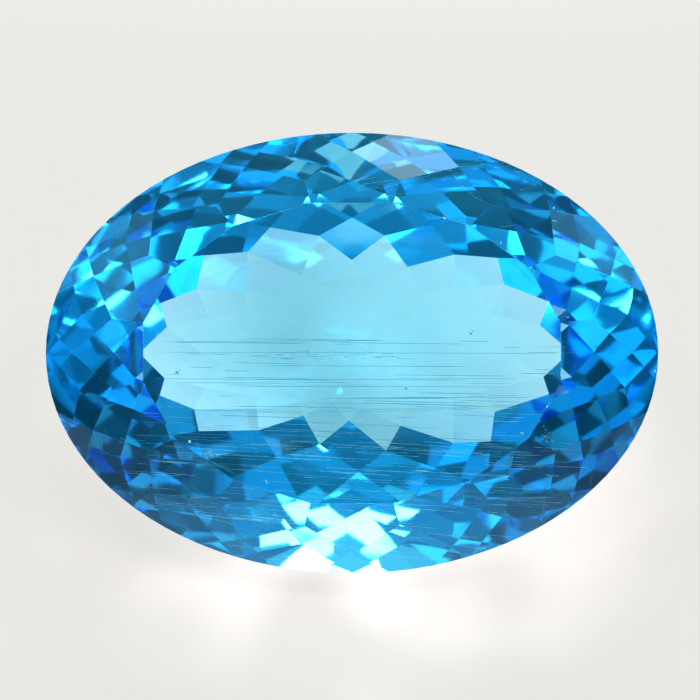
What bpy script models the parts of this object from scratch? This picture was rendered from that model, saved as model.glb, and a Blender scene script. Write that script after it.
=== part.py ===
"""A large oval faceted blue topaz, lying on one of its pavilion facets.

The stone is made as a gem cutter makes it. An oval blank is turned to the outline
of the girdle, and every facet is then one flat cut through it. A facet is given by
its place around the stone, its angle to the girdle plane and a point it passes
through. From the second tier on, that point is the meet of three facets already cut.

Lengths are in metres, +Z is up. While it is cut, the stone's table faces +Z and its
girdle lies in the plane Z = 0. It is laid on its resting facet at the end.
"""

import math

import bmesh
import bpy
import numpy as np

# Outline of the girdle
LENGTH = 0.0276
WIDTH = 0.01985
GIRDLE_BAND = 0.00035
GIRDLE_SIDES = 96
BLANK_HEIGHT = 0.034

# Facets in one tier, and the angle between two of them
FOLD = 16
STEP = 2 * math.pi / FOLD

# Crown, as shares of the distance from the stone's axis to the girdle
TABLE_CORNER = 0.69
KITE_FOOT = 0.795
STAR_POINT = 0.912
BREAK_HALF_WIDTH = math.radians(7.0)
CROWN_ANGLE = 31.0

# Pavilion tiers from the girdle to the keel, in degrees: the angle beside the short
# axis, how much flatter the tier is at the two ends, and how much steeper it is on
# the side that the stone rests on
PAVILION_TIERS = (
    (68.0, 0.0, -3.4),
    (57.0, 2.0, -1.6),
    (53.0, 4.8, -1.8),
    (47.5, 4.6, -0.7),
    (39.6, 6.0, 0.6),
    (35.2, 5.7, 0.6),
    (30.5, 5.7, 1.0),
    (26.3, 5.7, 0.8),
)

# Facets that the cutter's hand set a little off their tier: (tier, index) to degrees
OFF_TIER = {
    (2, 4): -0.5,
    (2, 6): 0.5,
    (2, 11): -0.5,
    (2, 13): 0.8,
    (2, 15): -0.5,
    (3, 0): -0.7,
    (3, 8): 0.6,
    (3, 9): 1.0,
    (3, 12): -0.5,
    (3, 13): 0.6,
    (3, 14): -0.5,
    (4, 3): 0.8,
    (4, 5): -0.8,
    (4, 10): 0.5,
    (4, 12): -0.4,
}

# The facet that the stone rests on
RESTING_TIER = 4
RESTING_INDEX = 12

# Anything nearer to a cut than this lies on it
ON_PLANE = 1e-7
SHORTEST_EDGE = 3e-6

TOPAZ_BLUE = (0.05, 0.55, 0.9, 1.0)
TOPAZ_IOR = 1.62


def clear_scene():
    """Removes whatever the scene holds."""
    for ob in list(bpy.data.objects):
        bpy.data.objects.remove(ob, do_unlink=True)


def outline_point(turn, share, height):
    """A point at this share of the way from the axis to the girdle."""
    return np.array(
        [
            0.5 * LENGTH * share * math.cos(turn),
            0.5 * WIDTH * share * math.sin(turn),
            height,
        ]
    )


def slope(degrees):
    return math.tan(math.radians(degrees))


def oval_facet(turn, rise, point, side):
    """A facet whose steepness follows the oval: rise is its slope at the short axis.

    side is +1 on the crown and -1 on the pavilion.
    """
    normal = np.array(
        [
            rise * math.cos(turn) * WIDTH / LENGTH,
            rise * math.sin(turn),
            side,
        ]
    )
    normal /= np.linalg.norm(normal)
    return normal, float(normal @ point)


def level_facet(turn, degrees, point):
    """A pavilion facet at this true angle, facing square to the outline."""
    across = np.array([math.cos(turn) * WIDTH / LENGTH, math.sin(turn)])
    across *= slope(degrees) / np.linalg.norm(across)
    normal = np.array([across[0], across[1], -1.0])
    normal /= np.linalg.norm(normal)
    return normal, float(normal @ point)


def meet(first, second, third):
    """The point that three facets share."""
    normals = np.array([first[0], second[0], third[0]])
    distances = np.array([first[1], second[1], third[1]])
    return np.linalg.solve(normals, distances)


def crown_facets():
    """The table, then the 16 mains round it, the 16 kites and the 16 girdle breaks.

    The heights follow from the outline: the mains start at the table's edge, each kite
    stands on the foot where two mains part, and its top corners are the star points.
    """
    half = WIDTH / 2
    corner_turn = math.cos(STEP / 2)
    main_rise = slope(CROWN_ANGLE)
    foot_drop = main_rise * (KITE_FOOT - TABLE_CORNER) * corner_turn * half
    star_drop = main_rise * (STAR_POINT - TABLE_CORNER * corner_turn) * half
    kite_run = (STAR_POINT * corner_turn - KITE_FOOT) * half
    kite_rise = (star_drop - foot_drop) / kite_run
    table_height = GIRDLE_BAND / 2 + foot_drop + kite_rise * (1 - KITE_FOOT) * half
    break_foot = math.cos(STEP / 2 - BREAK_HALF_WIDTH) - KITE_FOOT
    break_drop = foot_drop + kite_rise * break_foot * half
    break_run = (math.cos(BREAK_HALF_WIDTH) - STAR_POINT) * half
    break_rise = (break_drop - star_drop) / break_run

    facets = [(np.array([0.0, 0.0, 1.0]), table_height)]
    for k in range(FOLD):
        turn = k * STEP
        edge = outline_point(turn, TABLE_CORNER * corner_turn, table_height)
        facets.append(oval_facet(turn, main_rise, edge, 1))
    for k in range(FOLD):
        turn = (k + 0.5) * STEP
        foot = outline_point(turn, KITE_FOOT, table_height - foot_drop)
        facets.append(oval_facet(turn, kite_rise, foot, 1))
    for k in range(FOLD):
        turn = k * STEP
        star = outline_point(turn, STAR_POINT, table_height - star_drop)
        facets.append(oval_facet(turn, break_rise, star, 1))
    return facets


def pavilion_tiers():
    """All tiers below the girdle, each cut to the meets of the two before it."""
    tiers = []
    for number, (angle, flatter, steeper) in enumerate(PAVILION_TIERS):
        shifted = number % 2
        tier = []
        for k in range(FOLD):
            turn = (k + 0.5 * shifted) * STEP
            degrees = angle - flatter * math.cos(turn) ** 2
            degrees -= steeper * math.sin(turn) * abs(math.sin(turn))
            degrees += OFF_TIER.get((number, k), 0.0)
            if number < 2:
                point = outline_point(turn, 1.0, -GIRDLE_BAND / 2)
            elif shifted:
                point = meet(tiers[-1][k], tiers[-1][(k + 1) % FOLD], tiers[-2][k])
            else:
                point = meet(tiers[-1][k - 1], tiers[-1][k], tiers[-2][k])
            tier.append(level_facet(turn, degrees, point))
        tiers.append(tier)
    return tiers


def girdle_blank():
    """An upright oval prism, tall enough to hold the whole stone."""
    bm = bmesh.new()
    rim = bmesh.ops.create_circle(bm, cap_ends=True, segments=GIRDLE_SIDES, radius=0.5)
    bmesh.ops.scale(bm, vec=(LENGTH, WIDTH, 1.0), verts=rim["verts"])
    bmesh.ops.translate(bm, vec=(0, 0, -BLANK_HEIGHT / 2), verts=bm.verts)
    raised = bmesh.ops.extrude_face_region(bm, geom=bm.faces[:])
    top = [v for v in raised["geom"] if isinstance(v, bmesh.types.BMVert)]
    bmesh.ops.translate(bm, vec=(0, 0, BLANK_HEIGHT), verts=top)
    bmesh.ops.recalc_face_normals(bm, faces=bm.faces)
    return bm


def cut(bm, facet):
    """Takes off all that lies outside the facet's plane, and closes the flat it leaves."""
    normal, distance = facet
    bmesh.ops.bisect_plane(
        bm,
        geom=bm.verts[:] + bm.edges[:] + bm.faces[:],
        dist=ON_PLANE,
        plane_co=tuple(normal * distance),
        plane_no=tuple(normal),
        clear_outer=True,
    )
    rim = [e for e in bm.edges if e.is_boundary]
    if rim:
        bmesh.ops.holes_fill(bm, edges=rim, sides=0)


def lay_down(bm, facet):
    """Turns the stone about its long axis until the facet lies flat on Z = 0.

    The middle of the stone's footprint then stands over the origin.
    """
    down = np.array([0.0, 0.0, -1.0])
    axis = np.cross(facet[0], down)
    sine = np.linalg.norm(axis)
    axis /= sine
    cosine = float(facet[0] @ down)
    skew = np.array(
        [
            [0.0, -axis[2], axis[1]],
            [axis[2], 0.0, -axis[0]],
            [-axis[1], axis[0], 0.0],
        ]
    )
    turn = np.eye(3) + sine * skew + (1 - cosine) * skew @ skew
    for v in bm.verts:
        v.co = turn @ np.array(v.co)
    points = np.array([v.co for v in bm.verts])
    low, high = points.min(axis=0), points.max(axis=0)
    shift = (-(low[0] + high[0]) / 2, -(low[1] + high[1]) / 2, -low[2])
    bmesh.ops.translate(bm, vec=shift, verts=bm.verts)


def topaz_material():
    """Clear sky-blue topaz."""
    mat = bpy.data.materials.new("blue_topaz")
    mat.use_nodes = True
    shader = mat.node_tree.nodes["Principled BSDF"]
    shader.inputs["Base Color"].default_value = TOPAZ_BLUE
    shader.inputs["Metallic"].default_value = 0.0
    shader.inputs["Roughness"].default_value = 0.02
    shader.inputs["IOR"].default_value = TOPAZ_IOR
    shader.inputs["Transmission Weight"].default_value = 1.0
    return mat


def make_stone():
    """Cuts the stone out of its blank and lays it on its resting facet."""
    tiers = pavilion_tiers()
    bm = girdle_blank()
    for facet in crown_facets():
        cut(bm, facet)
    for tier in tiers:
        for facet in tier:
            cut(bm, facet)
    bmesh.ops.remove_doubles(bm, verts=bm.verts, dist=SHORTEST_EDGE)
    lay_down(bm, tiers[RESTING_TIER][RESTING_INDEX])
    bmesh.ops.recalc_face_normals(bm, faces=bm.faces)
    mesh = bpy.data.meshes.new("topaz")
    bm.to_mesh(mesh)
    bm.free()
    mesh.materials.append(topaz_material())
    stone = bpy.data.objects.new("topaz", mesh)
    bpy.context.scene.collection.objects.link(stone)
    return stone


clear_scene()
make_stone()
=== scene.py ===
import math
import random

import bmesh
import bpy
from mathutils import Matrix, Vector


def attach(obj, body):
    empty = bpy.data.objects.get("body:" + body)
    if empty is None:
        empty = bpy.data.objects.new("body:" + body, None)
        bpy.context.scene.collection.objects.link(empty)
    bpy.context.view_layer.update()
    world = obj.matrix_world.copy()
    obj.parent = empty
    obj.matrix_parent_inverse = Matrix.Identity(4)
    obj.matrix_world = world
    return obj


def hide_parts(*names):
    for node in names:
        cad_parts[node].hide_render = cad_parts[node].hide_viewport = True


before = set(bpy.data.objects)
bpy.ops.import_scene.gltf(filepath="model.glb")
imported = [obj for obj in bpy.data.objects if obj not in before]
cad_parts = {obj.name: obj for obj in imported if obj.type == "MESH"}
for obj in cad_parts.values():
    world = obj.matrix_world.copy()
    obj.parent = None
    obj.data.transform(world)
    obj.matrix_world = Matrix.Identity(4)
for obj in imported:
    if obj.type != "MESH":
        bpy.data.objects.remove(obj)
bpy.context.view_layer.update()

# The stone in its own frame: x along the girdle, y across it, z out of the table
LENGTH = 0.0276
TABLE_HEIGHT = 0.0024148

# The stone in the photo, in pixels, and how many metres of it one pixel shows
LENGTH_IN_PHOTO = 612.0
CENTRE_IN_PHOTO = (352.0, 353.0)
PHOTO_SIDE = 700.0
PIXEL = LENGTH / LENGTH_IN_PHOTO

# Triangles that meet within this angle, in degrees, are one facet
FLAT_WITHIN = 0.2
MERGE_DISTANCE = 0.000001

# A face that looks up at least this much, as the z of its normal, is on the crown
CROWN_RISE = 0.1

# Optics of topaz. Red, green and blue light are each absorbed at this density per
# metre, times one minus their value in the colour
TOPAZ_IOR = 1.62
ABSORPTION_DENSITY = 100.0
ABSORPTION_COLOUR = (0.04, 0.80, 0.985, 1.0)

# The polish is not perfectly flat: how far it rises and falls on the pavilion, waves
# per metre, and how much of it the crown has
POLISH_WAVE = 0.00004
POLISH_WAVES = 300.0
CROWN_WAVE = 0.12

# The pavilion's polish is a little hazy, and the crown's facet edges are worn. Only
# edges above this height, measured from the girdle's middle, are worn
PAVILION_ROUGHNESS = 0.045
EDGE_WEAR = 0.000028
EDGE_ROUGHNESS = 0.35
WEAR_ABOVE = -0.0001

# Growth tubes run along the stone. Each row is one group, in photo pixels and degrees:
# how many, left, top, right, bottom, shortest, longest, fall to the right. A long tube
# has a row of its own, with its start and end
TUBE_GROUPS = (
    (50, 150, 338, 560, 412, 18, 150, 0.4),
    (30, 160, 400, 540, 452, 20, 120, 1.5),
    (30, 120, 420, 590, 500, 15, 110, 3.2),
    (34, 272, 351, 402, 359, 3, 16, 0.5),
)
LONG_TUBES = (
    (147, 352.0, 561, 353.5),
    (150, 378.5, 470, 380.0),
    (262, 365.5, 470, 366.5),
    (300, 386.0, 520, 387.0),
    (160, 341.5, 380, 340.5),
)
TUBE_RADIUS = (0.000006, 0.000011)
TUBE_TIP = 0.08
TUBE_COLOUR = (0.66, 0.80, 0.86, 1.0)

# Where a tube may lie: its height, how far its end may leave that height, how far it
# stays from every facet, and how many heights are tried
TUBE_DEPTHS = (-0.0055, 0.0019)
TUBE_TILT = 0.0001
TUBE_MARGIN = 0.00025
TUBE_TRIES = 30

# Fine polish scratches on the crown and the table, listed as the tubes are, and painted
# highlights along crown facet edges
SCRATCH_GROUPS = (
    (40, 130, 405, 580, 455, 15, 90, 1.5),
    (110, 120, 440, 590, 505, 12, 100, 3.6),
    (80, 190, 490, 520, 558, 10, 70, 5.0),
    (14, 150, 345, 560, 400, 20, 120, 0.5),
    (10, 330, 135, 560, 230, 10, 34, -8.0),
)
LONG_SCRATCHES_AND_EDGE_HIGHLIGHTS = (
    (236, 468.0, 352, 478.0),
    (282, 500.0, 338, 504.0),
    (180, 512.0, 236, 523.0),
    (196, 452.0, 330, 460.0),
    # The last five lines are painted highlights: pale lines where crown facet edges glint
    (380, 190.0, 450, 170.0),
    (450, 170.0, 461, 187.0),
    (461, 187.0, 475, 199.0),
    (475, 199.0, 496, 208.0),
    (450, 170.0, 500, 155.0),
)
SCRATCH_RADIUS = (0.0000018, 0.0000044)
SCRATCH_STEP_IN_PHOTO = 6.0
# The pale colour of the scratches, also used for the painted edge highlights
SCRATCH_AND_HIGHLIGHT_COLOUR = (0.72, 0.90, 0.95, 1.0)

# Tubes and scratches: how strongly short ones prevail, how much their fall varies in
# degrees, and the sides of each
SHORT_BIAS = 2.2
FALL_SPREAD = 0.35
TUBE_SIDES = 5

# Marks on the crown keep at least this high above the girdle's middle
LOWEST_MARK = 0.0002

# Small white crystals right under the crown: photo pixels, spread and count
CRYSTALS = (
    (545, 437, 5, 26),
    (212, 454, 2.5, 14),
    (178, 372, 1.5, 5),
    (407, 388, 1.5, 4),
    (470, 333, 2, 4),
)
CRYSTAL_RADIUS = (0.00002, 0.000065)
CRYSTAL_DEPTHS = (0.0001, 0.0004)
CRYSTAL_WIDTH = (0.4, 1.0)
CRYSTAL_COLOUR = (0.9, 0.93, 0.95, 1.0)

# Tiny chips where crown facets meet, in photo pixels, and their size in pixels. Each is
# a cluster of flakes: how many, how far they spread, their radius as a share of the
# size, and their width and height as shares of that radius
CHIPS = (
    (444, 220, 2.5), (553, 209, 3.0), (553, 222, 2.5), (566, 317, 2.0), (559, 374, 2.5),
    (546, 405, 3.0), (520, 432, 2.5), (190, 441, 3.0), (177, 263, 2.0), (266, 481, 2.0),
    (486, 459, 1.5), (466, 147, 3.0), (349, 134, 2.0), (655, 372, 2.5), (147, 385, 1.5),
    (132, 229, 1.5), (450, 170, 1.5), (342, 208, 1.5), (499, 243, 2.0), (398, 497, 2.0),
)
FLAKES_PER_CHIP = 3
FLAKE_SPREAD_IN_PHOTO = 1.0
FLAKE_SIZE = (0.25, 0.5)
FLAKE_WIDTH = (0.3, 0.7)
FLAKE_HEIGHT = 0.2
CHIP_COLOUR = (0.9, 0.96, 0.97, 1.0)

# A flake or crystal is turned by up to this much, in radians
MOST_TURN = 3.0

# Surface of tubes, crystals, scratches and chips: grains per metre, how dark its dark
# parts are, the noise values between which it turns pale and rough, and by how much
# its roughness goes up and down
GRAIN_PER_METRE = 2500.0
GRAIN_SHADE = 0.75
GRAIN_TURNS = (0.3, 0.6)
GRAIN_ROUGHENS = (0.3, 0.7)
GRAIN_ROUGHNESS = 0.15

# The camera's lens and sensor in millimetres, and how many times nearer and farther
# than the stone it sees
CAMERA_LENS = 320.0
SENSOR = 36.0
CLIP_RANGE = 100.0

# How often light may bounce or pass through a facet
BOUNCES = 28
GLOSSY_BOUNCES = 12

# The room's light, as radiance: everywhere, added towards the back, added overhead,
# and how quickly the last two fade. Its shade is greener, up to this radiance
ROOM_DIM = 0.10
ROOM_BACK = 0.58
ROOM_TOP = 0.55
ROOM_BACK_FADE = 1.0
ROOM_TOP_FADE = 2.0
ROOM_COLOUR = (0.28, 0.86, 1.0, 1.0)
ROOM_SHADE_COLOUR = (0.26, 0.93, 0.84, 1.0)
ROOM_SHADE_END = 0.35

# Soft panels: azimuth and elevation in degrees, width, height, radiance and colour
PANEL_DISTANCE = 0.5
WARM = (1.0, 0.88, 0.80)
NEUTRAL = (1.0, 1.0, 1.0)
CYAN = (0.5, 0.95, 1.0)
COOL = (0.2, 0.68, 1.0)
PANELS = (
    ("window_behind", 2, 26, 0.24, 0.13, 3.6, WARM),
    ("window_upper", 16, 52, 0.14, 0.10, 2.4, NEUTRAL),
    ("lamp_above", -138, 76, 0.12, 0.12, 8.0, WARM),
    ("lamp_right", 107, 61, 0.10, 0.10, 7.0, WARM),
    ("lamp_front", 135, 74, 0.12, 0.11, 7.5, WARM),
    ("panel_right", 79, 38, 0.17, 0.20, 1.15, CYAN),
    ("panel_left", -82, 38, 0.22, 0.20, 0.85, CYAN),
    ("panel_front_right", 138, 22, 0.24, 0.12, 0.7, COOL),
    ("panel_front_left", -138, 9, 0.26, 0.15, 0.5, COOL),
    ("panel_side_right", 130, 40, 0.16, 0.15, 0.2, COOL),
    ("panel_side_left", -130, 40, 0.18, 0.17, 0.65, COOL),
    ("panel_top", 0, 88, 0.26, 0.26, 0.4, NEUTRAL),
)

# The floor is a light table: its glow around the stone, far off, added behind the
# stone, taken off in front and added right under it, with the distances where each ends
FLOOR_GLOW = 0.485
FLOOR_GLOW_FAR = 0.24
FLOOR_GLOW_BACK = 0.14
FLOOR_GLOW_FRONT = -0.22
FLOOR_GLOW_UNDER = 0.165
FLOOR_PAD = (0.026, 0.12)
FLOOR_BACK = (0.024, 0.045)
FLOOR_FRONT = (-0.040, -0.012)
FLOOR_UNDER = (0.006, 0.017)

# The glow under the stone is patchy: patches per metre, the noise values between which
# they turn bright, and the share of that glow in the dimmest and the brightest
FLOOR_PATCHES_PER_METRE = 120.0
FLOOR_PATCH_TURNS = (0.35, 0.65)
FLOOR_PATCH_RANGE = (0.4, 1.7)

# The floor's surface, and how far it lies below the stone
FLOOR_GLOW_COLOUR = (1.0, 0.925, 0.885, 1.0)
FLOOR_COLOUR = (0.16, 0.14, 0.132, 1.0)
FLOOR_ROUGHNESS = 0.9
FLOOR_SIDE = 3.0
FLOOR_DROP = 0.00002


def link(ob):
    bpy.context.scene.collection.objects.link(ob)
    return ob


def make_piece(name, bm, material):
    """Turns a finished mesh into a piece of the scene."""
    mesh = bpy.data.meshes.new(name)
    bm.to_mesh(mesh)
    bm.free()
    mesh.materials.append(material)
    return link(bpy.data.objects.new(name, mesh))


def new_material(name):
    """A node material, with its tree and its shader."""
    mat = bpy.data.materials.new(name)
    mat.use_nodes = True
    return mat, mat.node_tree, mat.node_tree.nodes["Principled BSDF"]


def calculate(tree, operation, *values):
    """The result of a Math node on these sockets and numbers."""
    node = tree.nodes.new("ShaderNodeMath")
    node.operation = operation
    for socket, value in zip(node.inputs, values):
        if isinstance(value, bpy.types.NodeSocket):
            tree.links.new(value, socket)
        else:
            socket.default_value = value
    return node.outputs["Value"]


def ramp(tree, source, ends, low, high):
    """A value that goes from low to high while the source goes from end to end."""
    node = tree.nodes.new("ShaderNodeMapRange")
    node.interpolation_type = "SMOOTHSTEP"
    tree.links.new(source, node.inputs["Value"])
    node.inputs["From Min"].default_value = ends[0]
    node.inputs["From Max"].default_value = ends[1]
    node.inputs["To Min"].default_value = low
    node.inputs["To Max"].default_value = high
    return node.outputs["Result"]


def colour_ramp(tree, source, ends, low, high):
    """A colour that goes from low to high while the source goes from end to end."""
    node = tree.nodes.new("ShaderNodeValToRGB")
    for element, end, colour in zip(node.color_ramp.elements, ends, (low, high)):
        element.position = end
        element.color = colour
    tree.links.new(source, node.inputs["Fac"])
    return node.outputs["Color"]


def noise(tree, per_metre, detail):
    """Noise in the object's own space."""
    coord = tree.nodes.new("ShaderNodeTexCoord")
    node = tree.nodes.new("ShaderNodeTexNoise")
    node.inputs["Scale"].default_value = per_metre
    node.inputs["Detail"].default_value = detail
    tree.links.new(coord.outputs["Object"], node.inputs["Vector"])
    return node.outputs["Fac"]


def attribute(tree, name):
    node = tree.nodes.new("ShaderNodeAttribute")
    node.attribute_name = name
    return node.outputs["Fac"]


def facet_mesh(source):
    """The stone's mesh with one polygon to each facet."""
    bm = bmesh.new()
    bm.from_mesh(source)
    bmesh.ops.remove_doubles(bm, verts=bm.verts, dist=MERGE_DISTANCE)
    bmesh.ops.dissolve_limit(
        bm,
        angle_limit=math.radians(FLAT_WITHIN),
        use_dissolve_boundaries=False,
        verts=bm.verts,
        edges=bm.edges,
    )
    mesh = bpy.data.meshes.new("facets")
    bm.to_mesh(mesh)
    bm.free()
    return mesh


def table_frame(facets):
    """The matrix of the stone's own frame: its origin lies mid-girdle under the table."""
    table = max(facets.polygons, key=lambda p: p.area)
    out = table.normal.copy()
    across = Vector((1.0, 0.0, 0.0))
    up = out.cross(across).normalized()
    across = up.cross(out).normalized()
    turn = Matrix((across, up, out)).transposed().to_4x4()
    origin = table.center - out * TABLE_HEIGHT
    return Matrix.Translation(origin) @ turn


def facet_planes(facets, own):
    """The facets' planes in the stone's own frame, as outward normal and distance."""
    back = own.inverted()
    turn = back.to_3x3()
    planes = []
    for face in facets.polygons:
        normal = (turn @ face.normal).normalized()
        planes.append((normal, normal.dot(back @ face.center)))
    return planes


def stone_material():
    """Clear topaz. Face attributes say how rough and how wavy its polish is."""
    mat, tree, shader = new_material("topaz_clear")
    shader.inputs["Base Color"].default_value = (1.0, 1.0, 1.0, 1.0)
    shader.inputs["IOR"].default_value = TOPAZ_IOR
    shader.inputs["Transmission Weight"].default_value = 1.0
    body = tree.nodes.new("ShaderNodeVolumeAbsorption")
    body.inputs["Color"].default_value = ABSORPTION_COLOUR
    body.inputs["Density"].default_value = ABSORPTION_DENSITY
    tree.links.new(body.outputs["Volume"], tree.nodes["Material Output"].inputs["Volume"])
    tree.links.new(attribute(tree, "rough"), shader.inputs["Roughness"])
    wave = noise(tree, POLISH_WAVES, detail=0.0)
    uneven = tree.nodes.new("ShaderNodeBump")
    uneven.inputs["Distance"].default_value = POLISH_WAVE
    height = calculate(tree, "MULTIPLY", wave, attribute(tree, "wavy"))
    tree.links.new(height, uneven.inputs["Height"])
    tree.links.new(uneven.outputs["Normal"], shader.inputs["Normal"])
    return mat


def make_stone(facets, own):
    """The visible stone: the crown's facet edges are worn a very little."""
    bm = bmesh.new()
    bm.from_mesh(facets)
    back = own.inverted()
    turn = back.to_3x3()
    rough = bm.faces.layers.float.new("rough")
    wavy = bm.faces.layers.float.new("wavy")
    crown = {v for v in bm.verts if (back @ v.co).z > WEAR_ABOVE}
    bevel = bmesh.ops.bevel(
        bm,
        geom=[e for e in bm.edges if crown.issuperset(e.verts)],
        offset=EDGE_WEAR,
        offset_type="OFFSET",
        segments=1,
        profile=0.5,
        affect="EDGES",
        clamp_overlap=True,
    )
    for face in bm.faces:
        below = (turn @ face.normal).z < CROWN_RISE
        face[wavy] = 1.0 if below else CROWN_WAVE
        face[rough] = PAVILION_ROUGHNESS if below else 0.0
    for face in bevel["faces"]:
        face[rough] = EDGE_ROUGHNESS
    return make_piece("stone", bm, stone_material())


def pale_material(name, colour, roughness):
    """A pale mineral surface, a little darker and smoother in places."""
    mat, tree, shader = new_material(name)
    grain = noise(tree, GRAIN_PER_METRE, detail=2.0)
    shade = [c * GRAIN_SHADE for c in colour[:3]] + [1.0]
    hue = colour_ramp(tree, grain, GRAIN_TURNS, shade, colour)
    tree.links.new(hue, shader.inputs["Base Color"])
    low, high = roughness - GRAIN_ROUGHNESS, roughness + GRAIN_ROUGHNESS
    rough = ramp(tree, grain, GRAIN_ROUGHENS, low, high)
    tree.links.new(rough, shader.inputs["Roughness"])
    return mat


def photo_point(x, y, depth):
    """Where a photo pixel lies in the stone's own frame, at this depth."""
    across = (x - CENTRE_IN_PHOTO[0]) * PIXEL
    up = (CENTRE_IN_PHOTO[1] - y) * PIXEL
    return Vector((across, up, depth))


def surface_point(planes, x, y):
    """The point of the crown or table that shows at this photo pixel, or None."""
    point = photo_point(x, y, 0.0)
    height = min(
        (far - normal.x * point.x - normal.y * point.y) / normal.z
        for normal, far in planes
        if normal.z > CROWN_RISE
    )
    if height < LOWEST_MARK:
        return None
    point.z = height
    return point


def inside(planes, point):
    return all(normal.dot(point) < far - TUBE_MARGIN for normal, far in planes)


def scatter_spans(groups, rng):
    """Start and end of each fine line, in photo pixels."""
    spans = []
    for count, left, top, right, bottom, shortest, longest, fall in groups:
        for _ in range(count):
            length = shortest + (longest - shortest) * rng.random() ** SHORT_BIAS
            x = rng.uniform(left, right - length)
            y = rng.uniform(top, bottom)
            drop = length * math.tan(math.radians(fall + rng.gauss(0, FALL_SPREAD)))
            spans.append((x, y, x + length, y + drop))
    return spans


def add_tube(bm, start, end, radius, tip):
    """A thin closed needle. tip is the share of its length that each point takes."""
    along = end - start
    side = along.cross(Vector((0, 0, 1))).normalized()
    top = along.cross(side).normalized()
    rings = []
    for share in (tip, 1.0 - tip):
        ring = []
        for i in range(TUBE_SIDES):
            turn = 2 * math.pi * i / TUBE_SIDES
            out = (side * math.cos(turn) + top * math.sin(turn)) * radius
            ring.append(bm.verts.new(start + along * share + out))
        rings.append(ring)
    tips = (bm.verts.new(start), bm.verts.new(end))
    for i in range(TUBE_SIDES):
        j = (i + 1) % TUBE_SIDES
        bm.faces.new((rings[0][i], rings[0][j], rings[1][j], rings[1][i]))
        bm.faces.new((rings[0][j], rings[0][i], tips[0]))
        bm.faces.new((rings[1][i], rings[1][j], tips[1]))


def add_grain(bm, rng, place, radius, width, height):
    """A small rounded grain. Its width and height are shares of its radius."""
    turn = Matrix.Rotation(rng.uniform(0, MOST_TURN), 4, "Z")
    squeeze = Matrix.Diagonal((radius, radius * rng.uniform(*width), radius * height, 1))
    bmesh.ops.create_icosphere(
        bm,
        subdivisions=1,
        radius=1.0,
        matrix=Matrix.Translation(place) @ turn @ squeeze,
    )


def draw_tubes(bm, planes, rng):
    """Fine parallel growth tubes inside the stone."""
    for x0, y0, x1, y1 in scatter_spans(TUBE_GROUPS, rng) + list(LONG_TUBES):
        for _ in range(TUBE_TRIES):
            depth = rng.uniform(*TUBE_DEPTHS)
            start = photo_point(x0, y0, depth)
            end = photo_point(x1, y1, depth + rng.gauss(0, TUBE_TILT))
            if inside(planes, start) and inside(planes, end):
                add_tube(bm, start, end, rng.uniform(*TUBE_RADIUS), TUBE_TIP)
                break


def draw_crystals(bm, planes, rng):
    """Clusters of tiny white crystals inside the stone."""
    for x, y, spread, count in CRYSTALS:
        for _ in range(count):
            place = surface_point(planes, x + rng.gauss(0, spread), y + rng.gauss(0, spread))
            place.z -= rng.uniform(*CRYSTAL_DEPTHS)
            radius = rng.uniform(*CRYSTAL_RADIUS)
            add_grain(bm, rng, place, radius, CRYSTAL_WIDTH, 1.0)


def draw_scratches_and_edge_highlights(bm, planes, rng):
    """Fine polish scratches that follow the facets of the crown, and pale lines painted as
    highlights along its facet edges.
    """
    for x0, y0, x1, y1 in scatter_spans(SCRATCH_GROUPS, rng) + list(LONG_SCRATCHES_AND_EDGE_HIGHLIGHTS):
        radius = rng.uniform(*SCRATCH_RADIUS)
        steps = max(2, int((x1 - x0) / SCRATCH_STEP_IN_PHOTO))
        previous = None
        for i in range(steps + 1):
            share = i / steps
            point = surface_point(planes, x0 + (x1 - x0) * share, y0 + (y1 - y0) * share)
            if previous is not None and point is not None:
                add_tube(bm, previous, point, radius, 0.0)
            previous = point


def draw_chips(bm, planes, rng):
    """Tiny bright chips at the corners of the crown's facets."""
    spread = FLAKE_SPREAD_IN_PHOTO
    for x, y, size in CHIPS:
        for _ in range(FLAKES_PER_CHIP):
            place = surface_point(planes, x + rng.gauss(0, spread), y + rng.gauss(0, spread))
            if place is None:
                continue
            radius = size * PIXEL * rng.uniform(*FLAKE_SIZE)
            add_grain(bm, rng, place, radius, FLAKE_WIDTH, FLAKE_HEIGHT)


def make_marks(name, draw, seed, planes, own, material):
    """A piece of fine marks that draw adds to a mesh in the stone's own frame."""
    bm = bmesh.new()
    draw(bm, planes, random.Random(seed))
    bm.transform(own)
    bmesh.ops.recalc_face_normals(bm, faces=bm.faces)
    return make_piece(name, bm, material)


def floor_glow(tree):
    """The strength of the light table's glow by place."""
    coord = tree.nodes.new("ShaderNodeTexCoord")
    split = tree.nodes.new("ShaderNodeSeparateXYZ")
    away = tree.nodes.new("ShaderNodeVectorMath")
    away.operation = "LENGTH"
    tree.links.new(coord.outputs["Object"], split.inputs["Vector"])
    tree.links.new(coord.outputs["Object"], away.inputs[0])
    distance = away.outputs["Value"]
    pad = ramp(tree, distance, FLOOR_PAD, FLOOR_GLOW, FLOOR_GLOW_FAR)
    back = ramp(tree, split.outputs["Y"], FLOOR_BACK, 0.0, FLOOR_GLOW_BACK)
    front = ramp(tree, split.outputs["Y"], FLOOR_FRONT, 1.0, 0.0)
    less = ramp(tree, distance, FLOOR_PAD, FLOOR_GLOW_FRONT, 0.0)
    under = ramp(tree, distance, FLOOR_UNDER, FLOOR_GLOW_UNDER, 0.0)
    patches = noise(tree, FLOOR_PATCHES_PER_METRE, detail=1.0)
    share = ramp(tree, patches, FLOOR_PATCH_TURNS, *FLOOR_PATCH_RANGE)
    total = calculate(tree, "ADD", pad, back)
    total = calculate(tree, "MULTIPLY_ADD", front, less, total)
    return calculate(tree, "MULTIPLY_ADD", under, share, total)


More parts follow.
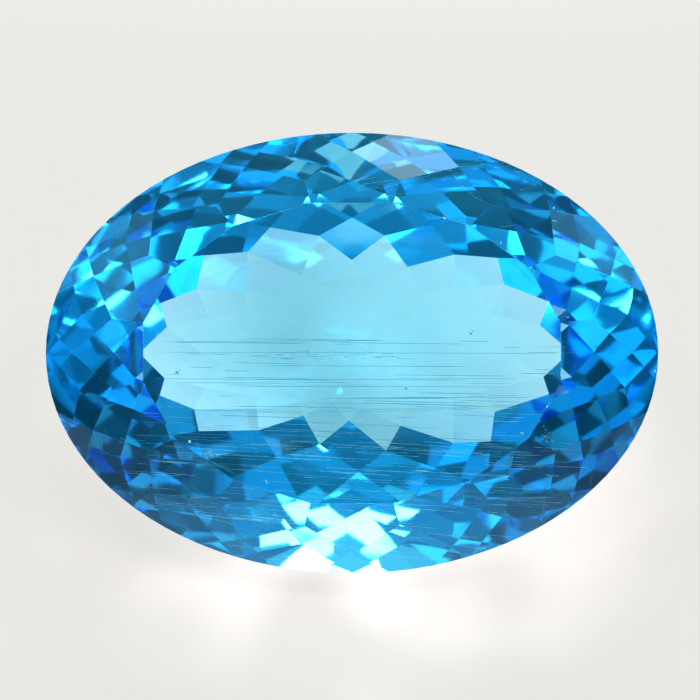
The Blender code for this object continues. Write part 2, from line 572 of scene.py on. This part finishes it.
def make_floor():
    """A pale light table under the stone."""
    bpy.ops.mesh.primitive_plane_add(size=FLOOR_SIDE, location=(0, 0, -FLOOR_DROP))
    floor = bpy.context.object
    floor.name = "floor"
    mat, tree, shader = new_material("pale_floor")
    shader.inputs["Base Color"].default_value = FLOOR_COLOUR
    shader.inputs["Roughness"].default_value = FLOOR_ROUGHNESS
    shader.inputs["Emission Color"].default_value = FLOOR_GLOW_COLOUR
    tree.links.new(floor_glow(tree), shader.inputs["Emission Strength"])
    floor.data.materials.append(mat)


def make_world():
    """A pale room: brightest behind the stone, dim and greener low down in front."""
    world = bpy.data.worlds.new("room")
    bpy.context.scene.world = world
    world.use_nodes = True
    tree = world.node_tree
    tree.nodes.clear()
    out = tree.nodes.new("ShaderNodeOutputWorld")
    sky = tree.nodes.new("ShaderNodeBackground")
    coord = tree.nodes.new("ShaderNodeTexCoord")
    split = tree.nodes.new("ShaderNodeSeparateXYZ")
    tree.links.new(coord.outputs["Generated"], split.inputs["Vector"])
    level = ROOM_DIM
    for axis, gain, fade in (
        ("Y", ROOM_BACK, ROOM_BACK_FADE),
        ("Z", ROOM_TOP, ROOM_TOP_FADE),
    ):
        facing = calculate(tree, "MAXIMUM", split.outputs[axis], 0.0)
        faded = calculate(tree, "POWER", facing, fade)
        level = calculate(tree, "MULTIPLY_ADD", faded, gain, level)
    tree.links.new(level, sky.inputs["Strength"])
    hue = colour_ramp(tree, level, (0.0, ROOM_SHADE_END), ROOM_SHADE_COLOUR, ROOM_COLOUR)
    tree.links.new(hue, sky.inputs["Color"])
    tree.links.new(sky.outputs["Background"], out.inputs["Surface"])


def area_light(name, azimuth, elevation, width, height, radiance, colour, aim):
    """A soft panel that faces aim. Azimuth 0 is behind the stone and 90 on its right."""
    a, e = math.radians(azimuth), math.radians(elevation)
    away = Vector((math.sin(a) * math.cos(e), math.cos(a) * math.cos(e), math.sin(e)))
    lamp = bpy.data.lights.new(name, "AREA")
    lamp.shape = "RECTANGLE"
    lamp.size = width
    lamp.size_y = height
    lamp.energy = radiance * math.pi * width * height
    lamp.color = colour
    ob = link(bpy.data.objects.new(name, lamp))
    ob.location = aim + away * PANEL_DISTANCE
    ob.rotation_euler = (-away).to_track_quat("-Z", "Y").to_euler()


def make_camera(own):
    """The camera looks square onto the table facet, as the photographer did."""
    cam = bpy.data.cameras.new("camera")
    cam.lens = CAMERA_LENS
    cam.sensor_width = SENSOR
    ob = link(bpy.data.objects.new("camera", cam))
    distance = PHOTO_SIDE * PIXEL * CAMERA_LENS / SENSOR
    place = photo_point(PHOTO_SIDE / 2, PHOTO_SIDE / 2, distance)
    ob.matrix_world = own @ Matrix.Translation(place)
    cam.clip_start = distance / CLIP_RANGE
    cam.clip_end = distance * CLIP_RANGE
    bpy.context.scene.camera = ob


def set_rendering():
    """Gives the light enough bounces to cross the stone, and sets the picture's tone."""
    scene = bpy.context.scene
    scene.view_settings.view_transform = "Standard"
    scene.view_settings.look = "High Contrast"
    scene.cycles.max_bounces = BOUNCES
    scene.cycles.transmission_bounces = BOUNCES
    scene.cycles.glossy_bounces = GLOSSY_BOUNCES


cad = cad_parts["topaz"]
facets = facet_mesh(cad.data)
own = table_frame(facets)
stone = make_stone(facets, own)
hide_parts("topaz")
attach(stone, "root")

# Each kind of mark: its piece, what draws it, the seed of its random draws, and its
# material's name, colour and roughness
planes = facet_planes(facets, own)
for name, draw, seed, material, colour, roughness in (
    ("growth_tubes", draw_tubes, 4, "growth_tube", TUBE_COLOUR, 0.6),
    ("crystals", draw_crystals, 9, "white_crystal", CRYSTAL_COLOUR, 0.5),
    # Scratches, and painted highlights along the crown's facet edges
    ("polish_scratches_and_edge_highlights", draw_scratches_and_edge_highlights, 21, "scratch_and_edge_highlight", SCRATCH_AND_HIGHLIGHT_COLOUR, 0.5),
    ("edge_chips", draw_chips, 5, "chip", CHIP_COLOUR, 0.4),
):
    surface = pale_material(material, colour, roughness)
    detail = make_marks(name, draw, seed, planes, own, surface)
    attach(detail, "root")

make_floor()
make_world()
for panel in PANELS:
    area_light(*panel, own.translation)
make_camera(own)
set_rendering()
